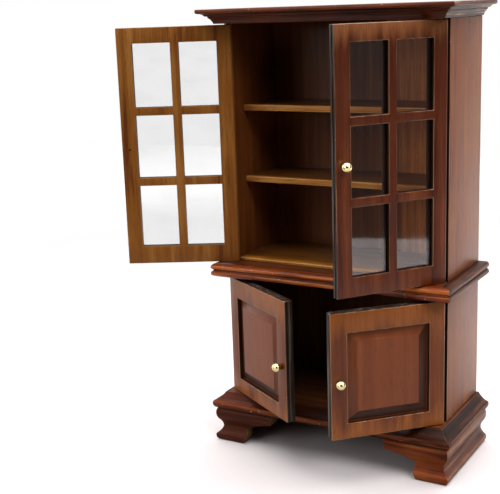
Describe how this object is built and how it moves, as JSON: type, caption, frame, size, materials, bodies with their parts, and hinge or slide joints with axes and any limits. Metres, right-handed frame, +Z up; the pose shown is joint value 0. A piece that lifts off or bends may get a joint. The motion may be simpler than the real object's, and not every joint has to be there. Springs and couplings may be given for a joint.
{
  "type": "dolls house bookcase cabinet",
  "caption": "Miniature wooden display bookcase: open shelves behind glazed doors above, a cupboard with panelled doors below, moulded top, waist and bracket feet.",
  "frame": {"origin": "ground level, middle of the underside of the rear skirt", "axes": "+Z up, +Y towards the back, -Y is the side with the doors, +X to the viewer's right"},
  "size_m": [0.136, 0.075, 0.178],
  "materials": {
    "walnut": "satin red-brown stain, vertical fine grain",
    "dark_walnut": "satin dark stain with a soft sheen",
    "golden_walnut": "thin golden-brown stain, satin",
    "clear_glass": "clear flat pane",
    "polished_brass": "polished",
    "pin_brass": "drawn wire"
  },
  "bodies": {
    "carcass": {"crown_board": "walnut", "waist_board": "walnut", "base_board": "walnut", "crown_moulding_front": "walnut", "crown_moulding_left": "dark_walnut", "crown_moulding_right": "dark_walnut", "waist_moulding_front": "walnut", "waist_moulding_left": "dark_walnut", "waist_moulding_right": "dark_walnut", "base_moulding_front": "walnut", "base_moulding_left": "dark_walnut", "base_moulding_right": "dark_walnut", "front_foot_left": "walnut", "side_skirt_left": "dark_walnut", "front_foot_right": "walnut", "side_skirt_right": "dark_walnut", "rear_skirt": "walnut", "lower_side_left": "walnut", "lower_side_right": "walnut", "lower_back": "dark_walnut", "upper_side_left": "walnut", "upper_side_right": "walnut", "upper_back": "dark_walnut", "upper_floor": "golden_walnut", "shelf_upper": "golden_walnut", "shelf_lower": "golden_walnut"},
    "upper_left_door": {"upper_left_door_front_frame": "walnut", "upper_left_door_rear_frame": "golden_walnut", "upper_left_door_glass": "clear_glass", "upper_left_door_knob": "polished_brass", "upper_left_door_pin_top": "pin_brass", "upper_left_door_pin_bottom": "pin_brass"},
    "upper_right_door": {"upper_right_door_front_frame": "walnut", "upper_right_door_rear_frame": "golden_walnut", "upper_right_door_glass": "clear_glass", "upper_right_door_knob": "polished_brass", "upper_right_door_pin_top": "pin_brass", "upper_right_door_pin_bottom": "pin_brass"},
    "lower_left_door": {"lower_left_door_frame": "walnut", "lower_left_door_panel": "walnut", "lower_left_door_knob": "polished_brass", "lower_left_door_pin_top": "pin_brass", "lower_left_door_pin_bottom": "pin_brass"},
    "lower_right_door": {"lower_right_door_frame": "walnut", "lower_right_door_panel": "walnut", "lower_right_door_knob": "polished_brass", "lower_right_door_pin_top": "pin_brass", "lower_right_door_pin_bottom": "pin_brass"}
  },
  "joints": [
    {"name": "upper_left_door_hinge", "type": "hinge", "parent": "carcass", "child": "upper_left_door", "pos_m": [-0.0441, -0.0369, 0.1243], "axis": [0, 0, -1], "range_deg": [-152, 18]},
    {"name": "upper_right_door_hinge", "type": "hinge", "parent": "carcass", "child": "upper_right_door", "pos_m": [0.0441, -0.0369, 0.1243], "axis": [0, 0, 1], "range_deg": [-54, 116]},
    {"name": "lower_left_door_hinge", "type": "hinge", "parent": "carcass", "child": "lower_left_door", "pos_m": [-0.0441, -0.0376, 0.0457], "axis": [0, 0, -1], "range_deg": [-32, 138]},
    {"name": "lower_right_door_hinge", "type": "hinge", "parent": "carcass", "child": "lower_right_door", "pos_m": [0.0441, -0.0376, 0.0457], "axis": [0, 0, 1], "range_deg": [-46, 124]}
  ]
}
